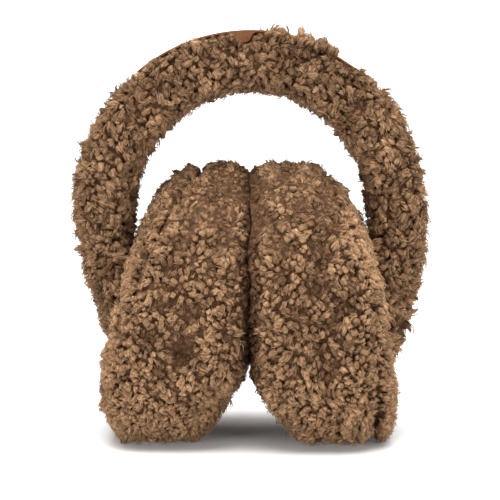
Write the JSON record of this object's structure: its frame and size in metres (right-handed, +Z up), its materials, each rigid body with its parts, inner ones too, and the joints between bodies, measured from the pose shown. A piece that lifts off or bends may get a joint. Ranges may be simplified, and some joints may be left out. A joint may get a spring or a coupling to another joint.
{
  "type": "fur earmuffs",
  "caption": "Curly shearling earmuffs: a padded arched headband with a leather strip on its crown and two plump ear muffs pressed together, standing on the muffs.",
  "frame": {"origin": "on the surface that the earmuffs stand on, below the middle of their box", "axes": "+Z up through the crown, X across the head from one muff to the other, -Y towards the front"},
  "size_m": [0.1688, 0.1268, 0.1952],
  "materials": {
    "shearling": "curly brown sheepskin wool, matt, with lighter tips and dark gaps between its locks",
    "leather": "smooth ginger-brown skin side, satin"
  },
  "bodies": {
    "root": {"headband": "shearling", "crown_strip": "leather", "left_ear_pad": "shearling", "right_ear_pad": "shearling", "left_outer_panel": "shearling", "right_outer_panel": "shearling"}
  },
  "joints": []
}
